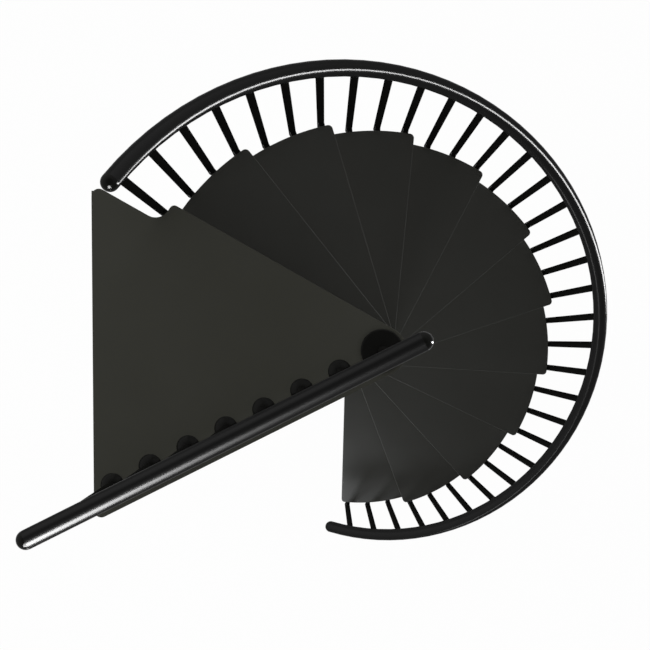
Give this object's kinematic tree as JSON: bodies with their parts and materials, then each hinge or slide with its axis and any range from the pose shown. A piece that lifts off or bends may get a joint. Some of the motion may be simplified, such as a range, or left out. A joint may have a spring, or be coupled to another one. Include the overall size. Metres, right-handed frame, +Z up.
{
  "type": "spiral staircase",
  "caption": "Black steel spiral staircase: pan treads stacked on a round column, a corner landing, a helical handrail on slim balusters and a straight landing guard.",
  "frame": {"origin": "middle of the base plate's underside, on the column's axis", "axes": "+Z up along the column; -X towards the landing's outer edge; the stair climbs counter-clockwise seen from above"},
  "size_m": [1.5254, 1.4543, 3.7812],
  "materials": {
    "coated_steel": "satin black powder coat",
    "tube_steel": "matt black powder coat",
    "rail_steel": "gloss black powder coat",
    "black_plastic": "smooth black plastic"
  },
  "bodies": {
    "root": {"base_plate": "coated_steel", "centre_pole": "coated_steel", "column_cap": "black_plastic", "spacer_sleeves": "coated_steel", "landing": "coated_steel", "tread_01": "coated_steel", "tread_02": "coated_steel", "tread_03": "coated_steel", "tread_04": "coated_steel", "tread_05": "coated_steel", "tread_06": "coated_steel", "tread_07": "coated_steel", "tread_08": "coated_steel", "tread_09": "coated_steel", "tread_10": "coated_steel", "tread_11": "coated_steel", "balusters_01": "tube_steel", "balusters_02": "tube_steel", "balusters_03": "tube_steel", "balusters_04": "tube_steel", "balusters_05": "tube_steel", "balusters_06": "tube_steel", "balusters_07": "tube_steel", "balusters_08": "tube_steel", "balusters_09": "tube_steel", "balusters_10": "tube_steel", "balusters_11": "tube_steel", "landing_front_baluster": "tube_steel", "baluster_bushes": "black_plastic", "spiral_handrail": "rail_steel", "spiral_handrail_caps": "black_plastic", "guard_rail": "rail_steel", "guard_rail_caps": "black_plastic", "guard_balusters": "tube_steel", "guard_baluster_feet": "black_plastic"}
  },
  "joints": []
}
